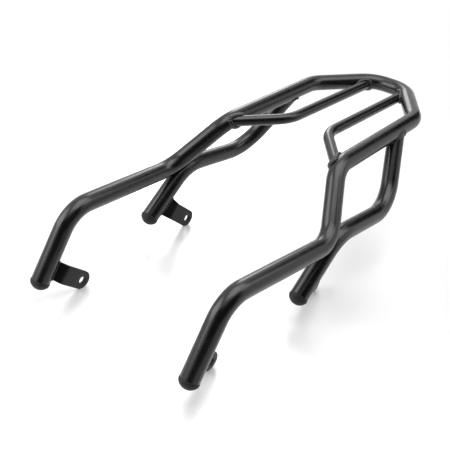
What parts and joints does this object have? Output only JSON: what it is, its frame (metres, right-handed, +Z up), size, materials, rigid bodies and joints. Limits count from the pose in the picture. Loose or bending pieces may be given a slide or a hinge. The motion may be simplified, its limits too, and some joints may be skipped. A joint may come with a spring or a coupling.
{
  "type": "motorcycle rear carrier",
  "caption": "Black welded tubular luggage carrier for the rear of a motorcycle, with bent legs, side stays, inner rails and bolt-on brackets.",
  "frame": {"origin": "on the ground plane, below the middle of the carrier's bounding box", "axes": "+X forward towards the front feet, +Y to the motorcycle's left, +Z up"},
  "size_m": [0.5888, 0.2628, 0.159],
  "materials": {
    "tube_paint": "satin black powder coat",
    "bracket_paint": "satin black powder coat",
    "weld_bead": "satin black powder coat over a rippled weld",
    "cap_plastic": "matte black textured plastic"
  },
  "bodies": {
    "root": {"main_tube": "tube_paint", "stay_left": "tube_paint", "stay_right": "tube_paint", "inner_rail_left": "tube_paint", "inner_rail_right": "tube_paint", "bracket_front_left": "bracket_paint", "bracket_front_right": "bracket_paint", "bracket_rear_left": "bracket_paint", "bracket_rear_right": "bracket_paint", "cap_front_left": "cap_plastic", "cap_front_right": "cap_plastic", "cap_rear_left": "cap_plastic", "cap_rear_right": "cap_plastic", "weld_beads_left": "weld_bead", "weld_beads_right": "weld_bead"}
  },
  "joints": []
}
